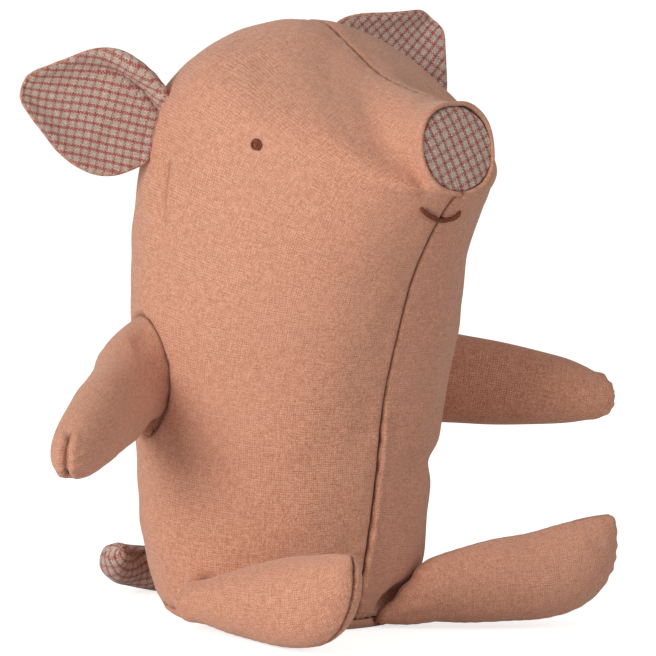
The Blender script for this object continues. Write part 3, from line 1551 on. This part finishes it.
    def sides(self, finishes: Finishes) -> list[bpy.types.Object]:
        """Makes the two side panels."""
        found = []
        for side in Side:
            name = f"body_side_{side.word}"
            pattern = FlatPattern(partial(self.plain, side=side))
            piece = panel(f"{name}_cloth", (200, 300), partial(self.skin, side=side), Vector((0, -5, 90)),
                          pattern, self.cloth, crease=partial(self.crease, side=side))
            finishes.salmon.dress(piece, name)
            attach(piece, "body")
            found.append(piece)
        return found

    def base_point(self, across: float, along: float) -> Vector:
        """A point of the base: flat underneath, curving up to its seam."""
        a, b = 2 * across - 1, 2 * along - 1
        reach = max(abs(a), abs(b))
        turn = 0.0
        if reach > TINY:
            turn = b / a / 4 if abs(a) >= abs(b) else 0.5 - a / b / 4
            if (abs(a) >= abs(b) and a < 0) or (abs(a) < abs(b) and b < 0):
                turn += 1.0
        if reach < self.base_flat:
            point = self.middle.lerp(self.form.point(0.0, turn), reach / self.base_flat)
            point.z = 0.0
            return point
        climb = (reach - self.base_flat) / (1 - self.base_flat)
        point = self.form.point(self.first * climb, turn)
        out = Vector((point.x, point.y - self.middle.y, 0)).normalized()
        point += out * (0.9 * math.sin(climb * math.pi) - 0.7 * climb)
        point += out * 0.3 * pucker(turn * self.base_girth, self.base_gathers.pitch, 3.3) * climb
        point.z = max(point.z, 0.0) * smooth(climb, -0.2, 0.25)
        return point - out * self.socket_depth(point, -out, self.socket_ease) * smooth(climb, 0.0, 0.3)

    def base(self, finishes: Finishes) -> bpy.types.Object:
        """Makes the base panel."""
        def plain(across: float, along: float) -> Vector:
            """A point of the flat base."""
            return Vector(((across - 0.5) * self.base_size[0], (along - 0.5) * self.base_size[1], 0))

        piece = panel("base_cloth", (90, 90), self.base_point, Vector((0, 5, 40)), RunPattern(plain), self.cloth)
        finishes.salmon.dress(piece, "base_panel")
        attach(piece, "body")
        return piece

    def filling(self, finishes: Finishes) -> bpy.types.Object:
        """Makes the stuffing inside the body."""
        def place(across: float, along: float) -> Vector:
            """A point of the stuffing's surface, once round the body."""
            low, high = self.filling_span
            station, turn = low + along * (high - low), 2 * across - 1
            point = self.form.point(station, turn, self.filling_inset)
            normal = self.form.normal(station, turn)
            point -= normal * (self.socket_depth(point, -normal, self.filling_ease) + self.tufts.at(point))
            point.z = max(point.z, self.filling_floor)
            return point

        cells = 90
        piece = finishes.stuffing.dress(closed_form("body_fibre", cells, cells, place), "body_filling")
        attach(piece, "body")
        return piece


@dataclass
class Face:
    """Snout disc, eyes and mouth.

    Each twist: strands, radius of the circle that they run on, length of a full twist.
    """

    body: Body
    disc_width: float = 31.6
    disc_height: float = 29.2
    disc_recess: float = 0.2
    disc_crown: float = 0.9
    disc_gathers: Gathers = Gathers(0.22, 4.0, 0.16)
    bumps: Lumps = Lumps(0.25, 2.2)
    flat_half: tuple[float, float] = (14.5, 13.3)
    eye_coil: int = 64
    eye_radius: float = 1.85
    coil_start: float = -115.0
    coil_sweep: float = 590.0
    coil_shrink: float = 0.75
    coil_stretch: float = 1.04
    coil_twist: tuple[int, float, float] = (3, 0.2, 1.9)
    coil_strand: float = 0.24
    knot_twist: tuple[int, float, float] = (2, 0.12, 1.2)
    knot_strand: float = 0.15
    mouth_twist: tuple[int, float, float] = (4, 0.42, 5.0)
    mouth_strand: float = 0.37
    knot_loops: int = 4
    knot_steps: int = 15
    stitch_steps: int = 25
    mouth_turns: tuple[float, ...] = (-0.07, -0.037, 0.0, 0.03, 0.045)
    mouth_stations: tuple[float, ...] = (0.642, 0.618, 0.6, 0.604, 0.628)
    stitches: tuple[tuple[float, float, float], ...] = ((0.0, 0.42, 0.0), (0.07, 0.66, -0.0035), (0.5, 1.0, 0.0))

    @staticmethod
    def round_place(across: float, along: float) -> tuple[float, float]:
        """A square's point moved into a circle of radius 1."""
        a, b = 2 * across - 1, 2 * along - 1
        return a * math.sqrt(1 - b * b / 2), b * math.sqrt(1 - a * a / 2)

    def disc(self, finishes: Finishes) -> bpy.types.Object:
        """Makes the check disc that fills the snout's rim."""
        base = self.body.snout

        def place(across: float, along: float) -> Vector:
            """A point of the disc."""
            x, z = self.round_place(across, along)
            r = math.hypot(x, z)
            out = self.disc_crown * (1 - r ** 4) - self.disc_recess - 1.3 * smooth(r, 0.93, 1.0)
            out += self.disc_gathers.at(math.atan2(z, x) * 13, 1 - r, 1.0)
            out += self.bumps.at(Vector((x, z, 0)), (0, 0, 4))
            return base @ Vector((x * self.disc_width / 2, out, z * self.disc_height / 2))

        def plain(across: float, along: float) -> Vector:
            """A point of the flat disc."""
            x, z = self.round_place(across, along)
            return Vector((x * self.flat_half[0], 0, z * self.flat_half[1]))

        pattern = SheetPattern(plain, turn=0.42)
        piece = panel("snout_disc_cloth", (90, 90), place, base @ Vector((0, -20, 0)), pattern, 0.8)
        finishes.check.dress(piece, "snout_disc")
        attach(piece, "body")
        return piece

    def eye_frame(self, side: Side) -> Matrix:
        """The frame of an eye: Z out of the cloth."""
        spot = (self.body.eye_station, self.body.eye_turn * side.value)
        centre, normal = self.body.form.point(*spot), self.body.form.normal(*spot)
        level = UP.cross(normal).normalized() * side.value
        return frame_at(centre - normal * 0.55, level, normal.cross(level) * side.value, normal)

    def eyes(self, finishes: Finishes) -> list[bpy.types.Object]:
        """Makes each eye: a coil of twisted floss with a lighter knot in it."""
        found = []
        for side in Side:
            base = self.eye_frame(side)
            coil = []
            for i in range(self.eye_coil):
                share = i / (self.eye_coil - 1)
                angle = math.radians(self.coil_start - self.coil_sweep * share)
                radius = self.eye_radius - self.coil_shrink * share
                coil.append(base @ Vector((math.cos(angle) * radius * self.coil_stretch, math.sin(angle) * radius,
                                           0.15 + 0.45 * share)))
            ring = thread(f"eye_{side.word}_coil", twisted(coil, *self.coil_twist), self.coil_strand)
            finishes.floss.dress(ring, f"eye_{side.word}")
            loops = []
            for k in range(self.knot_loops):
                spin = Matrix.Rotation(k * 0.75 + 0.3, 3, "Z")
                angles = [math.pi * i / (self.knot_steps - 1) for i in range(self.knot_steps)]
                loop = [base @ (spin @ Vector((math.cos(a) * 0.75, 0.1 * k - 0.15, 0.25 + 0.62 * math.sin(a))))
                        for a in angles]
                loops.extend(twisted(loop, *self.knot_twist))
            knot = finishes.knot.dress(thread(f"eye_{side.word}_knot", loops, self.knot_strand, 6))
            for piece in (ring, knot):
                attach(piece, "body")
                found.append(piece)
        return found

    def mouth(self, finishes: Finishes) -> bpy.types.Object:
        """Makes the mouth of three floss stitches that dip into the cloth at their ends."""
        form = self.body.form
        line = Line(tuple(zip(self.mouth_turns, self.mouth_stations)))
        paths = []
        for start, end, shift in self.stitches:
            path = []
            for i in range(self.stitch_steps):
                share = i / (self.stitch_steps - 1)
                turn, station = line.at(start + (end - start) * share)
                station += shift
                out = 0.55 + 0.35 * math.sin(share * math.pi) - 1.5 * (2 * abs(share - 0.5)) ** 8
                path.append(form.point(station, turn) + form.normal(station, turn) * out)
            paths.extend(twisted(path, *self.mouth_twist))
        piece = finishes.floss.dress(thread("mouth_floss", paths, self.mouth_strand), "mouth_stitch")
        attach(piece, "body")
        return piece


@dataclass
class Studio:
    """Floor, lights and the camera, whose lengths are in millimetres and angles in degrees."""

    azimuth: float = -40.798
    elevation: float = 6.493
    roll: float = 3.129
    distance: float = 2183.2
    pixels_per_mm: float = 2.9331
    target: tuple[float, float] = (5.488, 98.994)
    picture: int = 656
    sensor: float = 36.0
    far: float = 50.0
    middle: Vector = Vector((0, 0, 0.1)).freeze()
    aim: Vector = Vector((0, 0, 0.09)).freeze()
    ambient: float = 0.42
    glow: float = 0.72
    floor_size: float = 6.0

    def __post_init__(self) -> None:
        """Works out the camera's right, up and backward directions before its roll."""
        a, e = math.radians(self.azimuth), math.radians(self.elevation)
        self.right = Vector((math.cos(a), math.sin(a), 0))
        self.back = Vector((math.sin(a) * math.cos(e), -math.cos(a) * math.cos(e), math.sin(e)))
        self.up = self.back.cross(self.right)

    def camera(self) -> None:
        """Makes the camera at the picture's viewing angle."""
        centre = self.right * self.target[0] + self.up * self.target[1]
        data = bpy.data.cameras.new("camera")
        data.sensor_width = self.sensor
        data.lens = self.sensor * self.pixels_per_mm * self.distance / self.picture
        data.clip_end = self.far
        camera = bpy.data.objects.new("camera", data)
        turn = Matrix((self.right, self.up, self.back)).transposed()
        turn = turn @ Matrix.Rotation(math.radians(self.roll), 3, "Z")
        camera.matrix_world = Matrix.Translation((centre + self.back * self.distance) * MM) @ turn.to_4x4()
        bpy.context.scene.collection.objects.link(camera)
        bpy.context.scene.camera = camera

    def lamp(self, name: str, offset: Vector, size: float, watts: float, tone: tuple[float, float, float]) -> None:
        """Adds a soft square lamp aimed at the pig.

        Args:
            name: The lamp's name.
            offset: Its place from the pig's middle, in metres.
            size: Its side in metres.
            watts: Its power.
            tone: Its colour.
        """
        data = bpy.data.lights.new(name, "AREA")
        data.shape = "SQUARE"
        data.size = size
        data.energy = watts
        data.color = tone
        lamp = bpy.data.objects.new(name, data)
        lamp.location = self.middle + offset
        lamp.rotation_euler = (self.middle + offset - self.aim).to_track_quat("Z", "Y").to_euler()
        bpy.context.scene.collection.objects.link(lamp)

    def lamps(self) -> None:
        """Lights the pig from the camera's left with a weak fill."""
        self.lamp("key", self.right * -1.2 + self.back * 1.4 + UP * 0.25, 0.9, 24.4, (1.0, 0.99, 0.97))
        self.lamp("fill", self.right * 1.4 + self.back * 0.9 + UP * 0.5, 1.2, 3.5, (1.0, 0.99, 0.98))

    def world(self) -> None:
        """Gives even light all round, and white where the camera sees past the floor."""
        shader = Shader("studio", world=True)
        path = shader.node("ShaderNodeLightPath")
        light = shader.node("ShaderNodeBackground", inputs={0: (1.0, 0.99, 0.98, 1.0), 1: self.ambient})
        white = shader.node("ShaderNodeBackground", inputs={0: WHITE, 1: 1.0})
        mix = shader.node("ShaderNodeMixShader", inputs={0: path.outputs["Is Camera Ray"], 1: light.outputs[0],
                                                         2: white.outputs[0]})
        shader.node("ShaderNodeOutputWorld", inputs={0: mix.outputs[0]})
        bpy.context.scene.world = shader.block

    def floor(self) -> None:
        """Lays a pale floor that keeps the pig's soft shadow."""
        shader = Shader("pale_floor")
        path = shader.node("ShaderNodeLightPath")
        cloth = shader.node("ShaderNodeBsdfPrincipled", inputs={"Base Color": (0.86, 0.86, 0.86, 1),
                                                                "Roughness": 0.9, "Specular IOR Level": 0.1})
        glow = shader.node("ShaderNodeEmission", inputs={"Color": WHITE, "Strength": self.glow})
        both = shader.node("ShaderNodeAddShader", inputs={0: cloth.outputs[0], 1: glow.outputs[0]})
        mix = shader.node("ShaderNodeMixShader", inputs={0: path.outputs["Is Camera Ray"], 1: cloth.outputs[0],
                                                         2: both.outputs[0]})
        shader.node("ShaderNodeOutputMaterial", inputs={0: mix.outputs[0]})
        mesh = bmesh.new()
        bmesh.ops.create_grid(mesh, x_segments=2, y_segments=2, size=self.floor_size)
        floor = make_object("floor", mesh)
        floor.data.materials.append(shader.block)


def main() -> None:
    """Builds the pig and its studio, piece by piece."""
    studio = Studio()
    studio.camera()
    studio.world()
    studio.lamps()
    studio.floor()
    bpy.context.scene.view_settings.view_transform = "Standard"
    finishes = Finishes.build()
    arms, legs = [Arm.build(side) for side in Side], [Leg.build(side) for side in Side]
    ears = [Ear(side) for side in Side]
    body = Body(arms, legs, ears)
    face = Face(body)
    made = [*body.sides(finishes), body.base(finishes), body.filling(finishes)]
    for limb in (*arms, *legs):
        made += [*limb.panels(finishes), limb.filling(finishes)]
    for ear in ears:
        made += ear.build(finishes)
    made += [Tail().build(finishes), face.disc(finishes), *face.eyes(finishes), face.mouth(finishes)]
    for piece in made:
        log.info("%s: %d faces", piece.name, len(piece.data.polygons))


if __name__ == "__main__":
    logging.basicConfig(level=logging.INFO)
    main()
